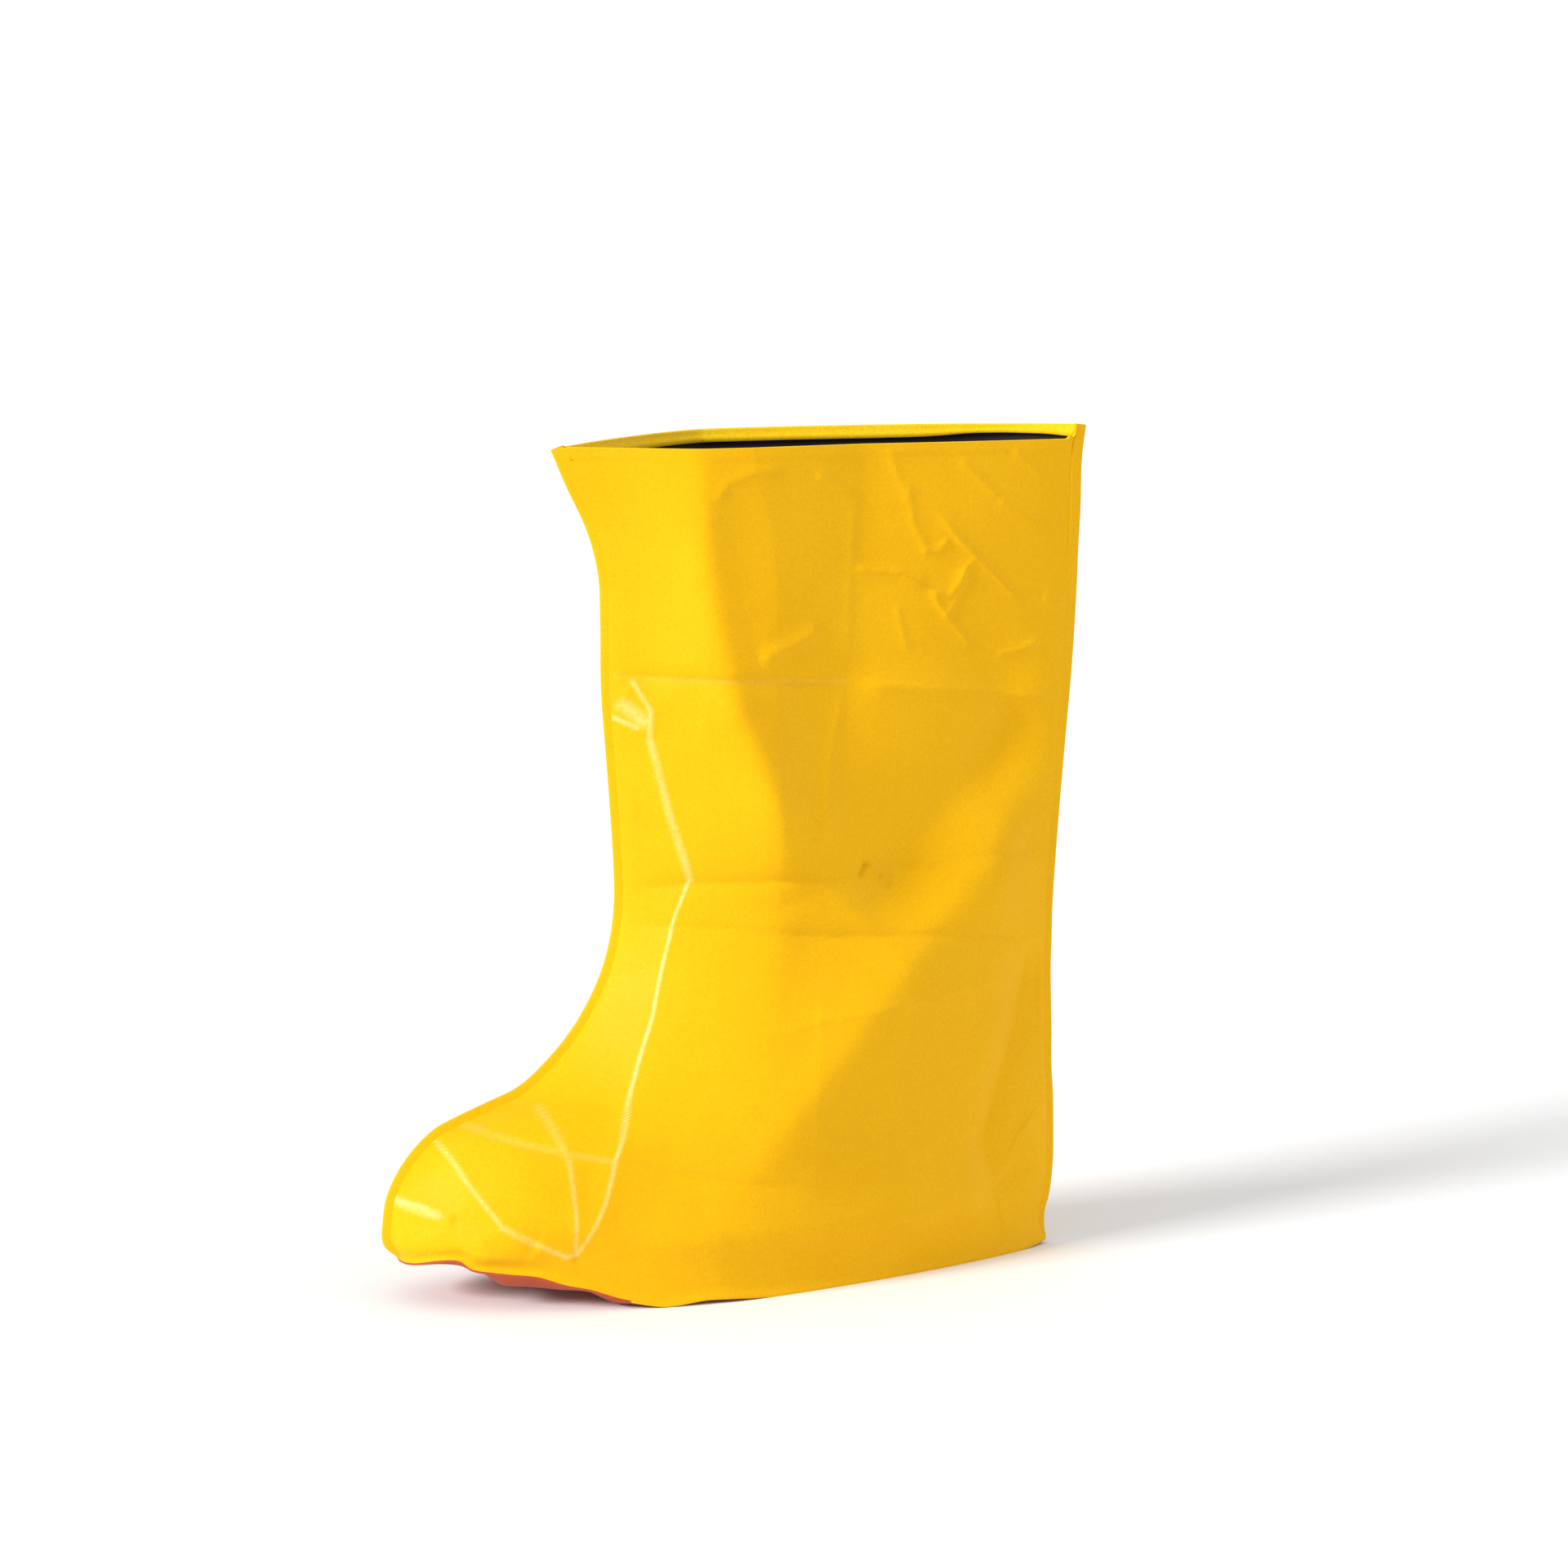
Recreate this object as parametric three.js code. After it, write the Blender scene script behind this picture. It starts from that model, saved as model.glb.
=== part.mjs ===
// Knee-high slip-on boot cover of welded vinyl sheet, standing empty on its sole.
//
// A maker cuts two boot-shaped side panels and a sole from vinyl sheet. The panels are heat
// welded to each other down the front and the back, which leaves a narrow fin there, and to
// the edge of the sole. The top edge is turned in and welded as a hem.
//
// Millimetres. +X points to the toe, +Y to the wearer's left, +Z up. The floor is z = 0 and
// the origin is the middle of the whole cover's box on the floor.

import * as THREE from "three";

// Driving sizes
const bootHeight = 458; // floor to the collar's far edge, an 18 inch cover
const ankleHeight = 190; // floor to where the instep becomes the shaft
const footLength = 380; // heel weld to toe weld
const ballWidth = 128; // the foot at its widest
const collarLength = 297; // collar from its front weld to its back weld
const collarWidth = 84; // how far the slack collar stands open
const frontDrop = 3; // how much lower the collar's front corner hangs
const leftDrop = 8; // how much lower the left panel's top edge ends at the back
const cornerLength = 0.07; // share of the way round over which it climbs back to the corner
const wall = 0.8; // vinyl sheet of the side panels
const soleThickness = 1.2; // heavier vinyl sheet underfoot
const soleMargin = 1.5; // the sole's trimmed edge outside the side panels
const toeSpring = 20; // how far the empty toe lifts off the floor
const weldWidth = 4; // fin of the two panels' joined edges
const weldThickness = 2 * wall;
const hemDepth = 7; // turned-in band at the collar
const heelTaper = 14; // height over which the fins widen from a trimmed lower end
const trimmedShare = 0.3; // share of weldWidth left at that end
const weldGap = 0.3; // clearance between neighbouring solids

// Mesh fineness
const aroundSteps = 56; // points round the cover, front weld to front weld
const crowding = 0.7; // 0 spaces those points evenly from weld to weld, 1 crowds them at both
const soleRings = [0.3, 0.55, 0.75, 0.9, 1]; // rings of the sole, as shares from spine to edge

// Profile of the foot, a row per level. up: share of ankleHeight. front, back: where the welds
// are, as shares of footLength ahead of the heel. left, right: half widths, shares of ballWidth.
const footProfile = [
  { up: 0.0, front: 0.984, back: 0.004, left: 0.52, right: 0.48 },
  { up: 0.07, front: 0.999, back: 0.013, left: 0.515, right: 0.475 },
  { up: 0.14, front: 0.999, back: 0.005, left: 0.505, right: 0.465 },
  { up: 0.235, front: 0.992, back: 0.0, left: 0.49, right: 0.45 },
  { up: 0.34, front: 0.967, back: 0.0, left: 0.47, right: 0.44 },
  { up: 0.445, front: 0.918, back: 0.001, left: 0.45, right: 0.42 },
  { up: 0.5, front: 0.864, back: 0.003, left: 0.435, right: 0.41 },
  { up: 0.55, front: 0.808, back: 0.004, left: 0.42, right: 0.4 },
  { up: 0.63, front: 0.76, back: 0.004, left: 0.4, right: 0.385 },
  { up: 0.715, front: 0.722, back: 0.005, left: 0.38, right: 0.37 },
  { up: 0.81, front: 0.692, back: 0.006, left: 0.36, right: 0.355 },
  { up: 0.9, front: 0.672, back: 0.005, left: 0.34, right: 0.345 },
  { up: 1.0, front: 0.659, back: 0.004, left: 0.32, right: 0.335 },
];

// The same for the shaft. up: share of the height from ankle to collar. front, back: shares of
// collarLength. left, right: shares of collarWidth.
const shaftProfile = [
  { up: 0.08, front: 0.836, back: 0.001, left: 0.46, right: 0.51 },
  { up: 0.2, front: 0.84, back: -0.007, left: 0.44, right: 0.51 },
  { up: 0.36, front: 0.85, back: -0.019, left: 0.42, right: 0.52 },
  { up: 0.5, front: 0.859, back: -0.03, left: 0.4, right: 0.54 },
  { up: 0.65, front: 0.86, back: -0.038, left: 0.38, right: 0.57 },
  { up: 0.74, front: 0.864, back: -0.041, left: 0.36, right: 0.6 },
  { up: 0.83, front: 0.885, back: -0.045, left: 0.35, right: 0.63 },
  { up: 0.93, front: 0.926, back: -0.047, left: 0.34, right: 0.655 },
  { up: 1.0, front: 0.952, back: -0.055, left: 0.33, right: 0.675 },
];

// How a section is rounded. up: share of bootHeight. crown: where it is widest, as a share of
// the way back. Round: 2 closes that end bluntly, 1 to a sharp corner. Flank: 2 bows that
// part of the side evenly, 1 makes it straight with a ridge at the crown.
const roundings = [
  { up: 0.0, crown: 0.43, frontRound: 2.1, frontFlank: 1.8, backRound: 1.25, backFlank: 1.3 },
  { up: 0.1, crown: 0.42, frontRound: 1.7, frontFlank: 1.75, backRound: 1.3, backFlank: 1.4 },
  { up: 0.2, crown: 0.38, frontRound: 1.4, frontFlank: 1.7, backRound: 1.35, backFlank: 1.5 },
  { up: 0.42, crown: 0.31, frontRound: 1.2, frontFlank: 1.55, backRound: 1.25, backFlank: 1.5 },
  { up: 0.7, crown: 0.31, frontRound: 1.15, frontFlank: 1.45, backRound: 1.2, backFlank: 1.45 },
  { up: 1.0, crown: 0.33, frontRound: 1.05, frontFlank: 1.4, backRound: 1.15, backFlank: 1.4 },
];

// Heights of the sole above the floor, as shares of toeSpring. along: share of footLength
// ahead of the heel. edge: at the welded edge. middle: along the centre line. The slack toe
// turns up more at its edge than in its middle.
const soleRises = [
  { along: 0, edge: 0.12, middle: 0 },
  { along: 0.06, edge: 0, middle: 0 },
  { along: 0.48, edge: 0, middle: 0 },
  { along: 0.585, edge: 0.12, middle: 0 },
  { along: 0.65, edge: 0.02, middle: 0 },
  { along: 0.71, edge: 0.24, middle: 0 },
  { along: 0.735, edge: 0.4, middle: 0.22 },
  { along: 0.755, edge: 0.53, middle: 0.42 },
  { along: 0.79, edge: 0.68, middle: 0.54 },
  { along: 0.825, edge: 0.9, middle: 0.62 },
  { along: 0.865, edge: 0.98, middle: 0.68 },
  { along: 0.885, edge: 1.02, middle: 0.86 },
  { along: 0.91, edge: 1.09, middle: 1.06 },
  { along: 0.925, edge: 1.3, middle: 1.12 },
  { along: 0.95, edge: 1.26, middle: 1.12 },
  { along: 0.98, edge: 1.06, middle: 1.04 },
  { along: 1, edge: 1, middle: 1 },
];
const edgeFade = ankleHeight * 0.63; // the height over which that lift dies out in the panels
const fadeCurve = 1.5; // above 1 it dies out fastest next to the sole
const dropCurve = 6; // the collar's drops die out downwards as this power of the height
const flatShare = 0.35; // share of the sole's half width that keeps the height of its middle
const edgeCurl = 3.5; // 1 slopes evenly from there to the edge, more stays low and curls up late
const spineInset = footLength * 0.1; // where the sole's centre line ends, in from heel and toe

// Soft folds of the slack panels. side: 1 left, -1 right. from, to: [share of footLength
// ahead of the heel, share of bootHeight]. rise: share of ballWidth, negative for a trough.
// ahead, behind: how far it spreads on the toe side and the heel side, as shares of ballWidth.
// The folds die out near the welds and near the sole, which hold the sheet.
const weldHold = 0.2; // share of the way round from each weld
const soleHold = bootHeight * 0.1; // height above the sole
const foldEnd = 0.25; // share of a fold's length over which it rises at each end
const folds = [
  { side: 1, from: [0.56, 1.0], to: [0.54, 0.7], rise: 0.045, ahead: 0.35, behind: 0.12 },
  { side: 1, from: [0.62, 0.76], to: [0.5, 0.46], rise: 0.04, ahead: 0.2, behind: 0.16 },
  { side: 1, from: [-0.02, 0.67], to: [0.39, 0.42], rise: -0.04, ahead: 0.3, behind: 0.14 },
  { side: 1, from: [0.0, 0.56], to: [0.7, 0.08], rise: 0.05, ahead: 0.25, behind: 0.35 },
  { side: 1, from: [0.58, 0.48], to: [0.78, 0.06], rise: 0.035, ahead: 0.12, behind: 0.3 },
  { side: 1, from: [0.03, 0.4], to: [0.12, 0.12], rise: -0.04, ahead: 0.16, behind: 0.1 },
  { side: -1, from: [0.47, 1.0], to: [0.5, 0.5], rise: 0.05, ahead: 0.2, behind: 0.2 },
  { side: -1, from: [0.05, 1.0], to: [0.1, 0.6], rise: 0.07, ahead: 0.25, behind: 0.12 },
  { side: -1, from: [0.1, 0.6], to: [0.6, 0.22], rise: 0.05, ahead: 0.25, behind: 0.3 },
];

// Heights of the mesh's rows, closest where the instep is shallow. Those of the foot are shares
// of ankleHeight, those of the shaft shares of the height from ankle to collar.
const footRows = [
  0, 0.032, 0.074, 0.126, 0.184, 0.242, 0.3, 0.353, 0.4, 0.442,
  0.479, 0.511, 0.542, 0.579, 0.621, 0.674, 0.737, 0.821, 0.916,
];
const shaftRows = [0, 0.07, 0.15, 0.24, 0.33, 0.42, 0.51, 0.6, 0.68, 0.75, 0.82, 0.89, 0.95];

const mix = (a, b, share) => a + (b - a) * share;
const clamp = (value) => Math.min(1, Math.max(0, value));
const smooth = (value) => clamp(value) ** 2 * (3 - 2 * clamp(value));

// A column of a table at a place between its rows, as one smooth curve
function read(rows, key, column, place) {
  const last = rows.length - 2;
  let k = 0;
  while (k < last && rows[k + 1][key] < place) k += 1;
  const slope = (a, b) => (rows[b][column] - rows[a][column]) / (rows[b][key] - rows[a][key]);
  const before = slope(Math.max(k - 1, 0), Math.min(k + 1, rows.length - 1));
  const after = slope(k, Math.min(k + 2, rows.length - 1));
  const gap = rows[k + 1][key] - rows[k][key];
  const t = clamp((place - rows[k][key]) / gap);
  const start = rows[k][column];
  const rise = rows[k + 1][column] - start;
  return start + rise * t * t * (3 - 2 * t)
    + gap * t * (1 - t) * (before * (1 - t) - after * t);
}

// Both profiles as rows of real heights and sizes
const profile = [
  ...footProfile.map((row) => ({
    height: row.up * ankleHeight,
    front: row.front * footLength,
    back: row.back * footLength,
    left: row.left * ballWidth,
    right: row.right * ballWidth,
  })),
  ...shaftProfile.map((row) => ({
    height: mix(ankleHeight, bootHeight, row.up),
    front: row.front * collarLength,
    back: row.back * collarLength,
    left: row.left * collarWidth,
    right: row.right * collarWidth,
  })),
];

function sectionAt(height) {
  const section = {};
  for (const column of ["front", "back", "left", "right"]) {
    section[column] = read(profile, "height", column, height);
  }
  for (const column of ["crown", "frontRound", "frontFlank", "backRound", "backFlank"]) {
    section[column] = read(roundings, "up", column, height / bootHeight);
  }
  return section;
}

// Half width of a section, as a share of its widest, at a share of the way back
function spread(section, back) {
  const ahead = back < section.crown;
  const away = ahead
    ? (section.crown - back) / section.crown
    : (back - section.crown) / (1 - section.crown);
  const round = ahead ? section.frontRound : section.backRound;
  const flank = ahead ? section.frontFlank : section.backFlank;
  return Math.max(0, 1 - away ** flank) ** (1 / round);
}

// How far the soft folds push one side's panel out at a place on it
function foldAt(side, x, z) {
  let out = 0;
  for (const fold of folds) {
    if (fold.side !== side) continue;
    const start = new THREE.Vector2(fold.from[0] * footLength, fold.from[1] * bootHeight);
    const run = new THREE.Vector2(fold.to[0] * footLength, fold.to[1] * bootHeight).sub(start);
    const away = new THREE.Vector2(x, z).sub(start);
    const share = away.dot(run) / run.lengthSq();
    const offset = away.cross(run) / run.length();
    const reach = ballWidth * (offset < 0 ? fold.ahead : fold.behind);
    const fade = smooth(share / foldEnd + 0.5) * smooth((1 - share) / foldEnd + 0.5);
    out += fold.rise * ballWidth * Math.exp(-((offset / reach) ** 2)) * fade;
  }
  return out;
}

function soleRise(x, line) {
  return toeSpring * Math.max(0, read(soleRises, "along", line, clamp(x / footLength)));
}

// A point of the panels' outer face. step: 0 to aroundSteps round from the front weld along
// the left side to the back weld and home along the right. height: the row's own height.
function skin(step, height) {
  const half = aroundSteps / 2;
  const side = step <= half ? 1 : -1;
  const turn = (side > 0 ? step : aroundSteps - step) / half;
  const back = mix(turn, 0.5 - 0.5 * Math.cos(Math.PI * turn), crowding);
  const section = sectionAt(height);
  const x = mix(section.front, section.back, back);
  const lift = soleRise(x, "edge") * clamp(1 - height / edgeFade) ** fadeCurve;
  const corner = frontDrop * (1 - back) ** 2;
  const slant = side > 0 ? leftDrop * back * smooth((1 - back) / cornerLength) : 0;
  const drop = (corner + slant) * (height / bootHeight) ** dropCurve;
  const base = (soleThickness + weldGap) * (1 - height / bootHeight);
  const z = height + lift - drop + base;
  const width = side > 0 ? section.left : section.right;
  const held = smooth(Math.min(back, 1 - back) / weldHold) * smooth(height / soleHold);
  const y = width * spread(section, back) + held * foldAt(side, x, z);
  return new THREE.Vector3(x, side * y, z);
}

const heights = [
  ...footRows.map((row) => row * ankleHeight),
  ...shaftRows.map((row) => mix(ankleHeight, bootHeight, row)),
  bootHeight - hemDepth,
  bootHeight,
];

const skinRings = heights.map((height) =>
  Array.from({ length: aroundSteps }, (_, step) => skin(step, height)));

// The same rings moved inwards by a depth, square to the faces on both sides of each point,
// so that two depths give parallel walls also in the corners at the welds
const sharpestBend = 0.12; // keeps the inner corner of a very sharp weld from running off
function ringsInside(depth) {
  return skinRings.map((ring, row) => {
    const above = skinRings[Math.min(row + 1, skinRings.length - 1)];
    const below = skinRings[Math.max(row - 1, 0)];
    return ring.map((point, step) => {
      const upward = above[step].clone().sub(below[step]);
      const onward = ring[(step + 1) % aroundSteps].clone().sub(point);
      const arrival = point.clone().sub(ring[(step + aroundSteps - 1) % aroundSteps]);
      const first = upward.clone().cross(arrival).normalize();
      const second = upward.cross(onward).normalize();
      const bend = Math.max(1 + first.dot(second), sharpestBend);
      const inward = first.add(second).multiplyScalar(depth / bend);
      if (row === 0 || row === skinRings.length - 1) inward.z = 0;
      return point.clone().add(inward);
    });
  });
}

// A solid skinned over closed rings of points. Without caps the last ring joins the first,
// as for a tube with a wall. With caps the first and last rings are closed straight across.
// Each four-cornered face is split along its shorter diagonal, so parallel faces split alike.
function loft(rings, capped) {
  const around = rings[0].length;
  const points = rings.flat();
  const faces = [];
  const quad = (a, b, c, d) => {
    const slantsUp = points[a].distanceTo(points[c]) < points[b].distanceTo(points[d]);
    faces.push(...(slantsUp ? [a, b, c, a, c, d] : [a, b, d, b, c, d]));
  };
  const bands = capped ? rings.length - 1 : rings.length;
  for (let band = 0; band < bands; band += 1) {
    const lower = band * around;
    const upper = ((band + 1) % rings.length) * around;
    for (let k = 0; k < around; k += 1) {
      const next = (k + 1) % around;
      quad(lower + k, lower + next, upper + next, upper + k);
    }
  }
  if (capped) {
    const top = (rings.length - 1) * around;
    for (let k = 0; k < around / 2; k += 1) {
      const across = (around - k) % around;
      const [a, b, c, d] = [k, k + 1, around - k - 1, across];
      if (k > 0) faces.push(a, d, b, top + a, top + b, top + d);
      if (k + 1 < around / 2) faces.push(b, d, c, top + b, top + c, top + d);
    }
  }
  const geometry = new THREE.BufferGeometry();
  const coordinates = points.flatMap((point) => [point.x, point.y, point.z]);
  geometry.setAttribute("position", new THREE.Float32BufferAttribute(coordinates, 3));
  geometry.setIndex(faces);
  geometry.computeVertexNormals();
  return geometry;
}

// The side panels, welded into one tube that is open at the collar and at the sole
function upperShape() {
  const inner = ringsInside(wall);
  return loft([...skinRings, ...inner.reverse()], false);
}

// The turned-in band inside the collar, cut between two depths under the skin
function hemShape() {
  const rows = skinRings.length - 2;
  const outer = ringsInside(wall + weldGap).slice(rows);
  const inner = ringsInside(wall + weldGap + wall).slice(rows);
  return loft([...outer, ...inner.reverse()], false);
}

// Sole sheet: its outline is the panels' lower edge plus the margin, its middle lies on the
// floor from the heel to the ball, and it rises to the lifted toe.
function soleShape() {
  const outline = skinRings[0].map((point, step) => {
    const before = skinRings[0][(step + aroundSteps - 1) % aroundSteps];
    const after = skinRings[0][(step + 1) % aroundSteps];
    const outward = new THREE.Vector3(after.y - before.y, before.x - after.x, 0).normalize();
    return point.clone().addScaledVector(outward, soleMargin);
  });
  const face = (share, up) => outline.map((point, step) => {
    const spine = Math.min(footLength - spineInset, Math.max(spineInset, point.x));
    const x = mix(spine, point.x, share);
    const edge = skinRings[0][step].z - soleThickness - weldGap;
    const curl = clamp((share - flatShare) / (1 - flatShare)) ** edgeCurl;
    const z = mix(soleRise(x, "middle"), edge, curl);
    return new THREE.Vector3(x, point.y * share, z + up);
  });
  const under = soleRings.map((share) => face(share, 0));
  const over = soleRings.map((share) => face(share, soleThickness));
  return loft([...under, ...over.reverse()], true);
}

// A fin along the front or back weld, in line with the corner where the panels meet
function weldShape(step, way) {
  const line = skinRings.map((ring) => ring[step]);
  const cuts = line.map((point, row) => {
    const above = line[Math.min(row + 1, line.length - 1)];
    const below = line[Math.max(row - 1, 0)];
    const rise = above.clone().sub(below);
    const outward = new THREE.Vector3(rise.z, 0, -rise.x).normalize().multiplyScalar(way);
    if (row === 0 || row === line.length - 1) outward.set(way, 0, 0);
    const corner = (distance, y) => point.clone().addScaledVector(outward, distance).setY(y);
    const inside = weldGap;
    const outside = weldGap + weldWidth * mix(trimmedShare, 1, smooth(heights[row] / heelTaper));
    const half = way * weldThickness / 2;
    return [corner(inside, -half), corner(outside, -half), corner(outside, half), corner(inside, half)];
  });
  return loft(cuts, true);
}

const sideVinyl = { color: 0xf6cb1e, roughness: 0.42, metalness: 0 };
const soleVinyl = { color: 0xe9a920, roughness: 0.6, metalness: 0 };

const cover = new THREE.Group();
function add(name, geometry, finish) {
  const mesh = new THREE.Mesh(geometry, new THREE.MeshStandardMaterial(finish));
  mesh.name = name;
  cover.add(mesh);
}
add("upper", upperShape(), sideVinyl);
add("collar_hem", hemShape(), sideVinyl);
add("front_weld", weldShape(0, 1), sideVinyl);
add("back_weld", weldShape(aroundSteps / 2, -1), sideVinyl);
add("sole", soleShape(), soleVinyl);

const box = new THREE.Box3().setFromObject(cover);
const middle = box.getCenter(new THREE.Vector3());
cover.position.set(-middle.x, -middle.y, -box.min.z);

export default cover;
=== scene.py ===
# Knee-high slip-on boot cover of welded yellow vinyl sheet, standing empty on its sole.
# Metres. +X points to the toe, +Y to the wearer's left, +Z up. The floor is z = 0.

import math

import bpy
import numpy as np
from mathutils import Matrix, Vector


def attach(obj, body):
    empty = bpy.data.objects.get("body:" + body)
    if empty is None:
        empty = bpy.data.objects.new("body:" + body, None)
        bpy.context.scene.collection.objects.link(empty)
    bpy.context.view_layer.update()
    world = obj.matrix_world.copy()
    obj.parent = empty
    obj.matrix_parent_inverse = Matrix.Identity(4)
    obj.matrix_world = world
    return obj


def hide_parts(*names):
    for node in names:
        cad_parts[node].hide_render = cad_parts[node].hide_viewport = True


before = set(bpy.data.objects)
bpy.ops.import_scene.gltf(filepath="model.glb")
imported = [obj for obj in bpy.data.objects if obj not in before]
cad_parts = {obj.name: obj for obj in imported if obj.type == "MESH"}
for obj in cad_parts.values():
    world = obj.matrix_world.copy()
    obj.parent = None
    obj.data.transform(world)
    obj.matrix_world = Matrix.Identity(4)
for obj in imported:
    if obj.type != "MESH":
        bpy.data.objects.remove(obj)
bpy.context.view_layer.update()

# Camera
# The cover is seen from a little above, from the wearer's left side and slightly from the toe. A
# long lens from 3 m away keeps its upright edges nearly parallel.
camera_azimuth = math.radians(160)
camera_elevation = math.radians(9)
camera_distance = 3.0
camera_lens = 126.92
sensor_width = 36.0
camera_target = Vector((-0.02646, -0.00474, 0.2681))


def direction(azimuth, elevation):
    """Unit vector from the cover to something at an azimuth and an elevation in radians."""
    across = math.cos(elevation)
    return Vector((math.sin(azimuth) * across, -math.cos(azimuth) * across, math.sin(elevation)))


camera_data = bpy.data.cameras.new("view_camera")
camera_data.lens = camera_lens
camera_data.sensor_width = sensor_width
camera = bpy.data.objects.new("view_camera", camera_data)
bpy.context.scene.collection.objects.link(camera)
away = direction(camera_azimuth, camera_elevation)
camera.location = camera_target + away * camera_distance
camera.rotation_euler = away.to_track_quat("Z", "Y").to_euler()
bpy.context.scene.camera = camera
bpy.context.scene.view_settings.view_transform = "Standard"

# Side panels
# Two boot-shaped panels cut from 0.8 mm plasticised PVC sheet, heat welded to each other down
# the front and the back and to the sole along their lower edge. The empty sheet hangs slack:
# a few broad soft folds, and sharp lines where it lay folded in its packet.

# The sizes are those of the solids, but for corner_length: the slant at the back end of the left
# rim is shorter here. heel_x and centre_y place the heel and the middle plane in the frame.
boot_height = 0.458
ankle_height = 0.190
foot_length = 0.380
ball_width = 0.128
collar_length = 0.297
collar_width = 0.084
front_drop = 0.003
left_drop = 0.008
corner_length = 0.03
sheet = 0.0008
sole_thickness = 0.0012
weld_gap = 0.0003
toe_spring = 0.020
heel_x = -0.18176
centre_y = -0.00284

# A row per level of the foot. up: share of ankle_height. front, back: where the welds are, as
# shares of foot_length ahead of the heel. left, right: half widths, as shares of ball_width.
foot_profile = [
    dict(up=0.0, front=0.984, back=0.004, left=0.52, right=0.48),
    dict(up=0.07, front=0.999, back=0.013, left=0.515, right=0.475),
    dict(up=0.14, front=0.999, back=0.005, left=0.505, right=0.465),
    dict(up=0.235, front=0.992, back=0.0, left=0.49, right=0.45),
    dict(up=0.34, front=0.967, back=0.0, left=0.47, right=0.44),
    dict(up=0.445, front=0.918, back=0.001, left=0.45, right=0.42),
    dict(up=0.5, front=0.864, back=0.003, left=0.435, right=0.41),
    dict(up=0.55, front=0.808, back=0.004, left=0.42, right=0.4),
    dict(up=0.63, front=0.76, back=0.004, left=0.4, right=0.385),
    dict(up=0.715, front=0.722, back=0.005, left=0.38, right=0.37),
    dict(up=0.81, front=0.692, back=0.006, left=0.36, right=0.355),
    dict(up=0.9, front=0.672, back=0.005, left=0.34, right=0.345),
    dict(up=1.0, front=0.659, back=0.004, left=0.32, right=0.335),
]
# The same for the shaft. up: share of the height from ankle to collar. front, back: shares of
# collar_length. left, right: shares of collar_width.
shaft_profile = [
    dict(up=0.08, front=0.836, back=0.001, left=0.46, right=0.51),
    dict(up=0.2, front=0.84, back=-0.007, left=0.44, right=0.51),
    dict(up=0.36, front=0.85, back=-0.019, left=0.42, right=0.52),
    dict(up=0.5, front=0.859, back=-0.03, left=0.4, right=0.54),
    dict(up=0.65, front=0.86, back=-0.038, left=0.38, right=0.57),
    dict(up=0.74, front=0.864, back=-0.041, left=0.36, right=0.6),
    dict(up=0.83, front=0.885, back=-0.045, left=0.35, right=0.63),
    dict(up=0.93, front=0.926, back=-0.047, left=0.34, right=0.655),
    dict(up=1.0, front=0.952, back=-0.055, left=0.33, right=0.675),
]
# How a level section is rounded. up: share of boot_height. crown: where it is widest, as a
# share of the way back. Round: 2 closes that end bluntly, 1 to a sharp corner. Flank: 2 bows
# that part of the side evenly, 1 makes it straight with a ridge at the crown.
roundings = [
    dict(up=0.0, crown=0.43, front_round=2.1, front_flank=1.8, back_round=1.25, back_flank=1.3),
    dict(up=0.1, crown=0.42, front_round=1.7, front_flank=1.75, back_round=1.3, back_flank=1.4),
    dict(up=0.2, crown=0.38, front_round=1.4, front_flank=1.7, back_round=1.35, back_flank=1.5),
    dict(up=0.42, crown=0.31, front_round=1.2, front_flank=1.55, back_round=1.25, back_flank=1.5),
    dict(up=0.7, crown=0.31, front_round=1.15, front_flank=1.45, back_round=1.2, back_flank=1.45),
    dict(up=1.0, crown=0.33, front_round=1.05, front_flank=1.4, back_round=1.15, back_flank=1.4),
]
# How far the sole's edge and its middle line lift off the floor, as shares of toe_spring. Under
# the toe the middle hangs lower than in the solids. along: share of foot_length ahead of the heel.
sole_rises = [
    dict(along=0, edge=0.12, middle=0),
    dict(along=0.06, edge=0, middle=0),
    dict(along=0.48, edge=0, middle=0),
    dict(along=0.585, edge=0.12, middle=0),
    dict(along=0.65, edge=0.02, middle=0),
    dict(along=0.71, edge=0.24, middle=0),
    dict(along=0.735, edge=0.4, middle=0.22),
    dict(along=0.755, edge=0.53, middle=0.42),
    dict(along=0.79, edge=0.68, middle=0.44),
    dict(along=0.825, edge=0.9, middle=0.5),
    dict(along=0.865, edge=0.98, middle=0.58),
    dict(along=0.885, edge=1.02, middle=0.86),
    dict(along=0.91, edge=1.09, middle=1.06),
    dict(along=0.925, edge=1.3, middle=1.12),
    dict(along=0.95, edge=1.26, middle=1.12),
    dict(along=0.98, edge=1.06, middle=1.04),
    dict(along=1, edge=1, middle=1),
]
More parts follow.
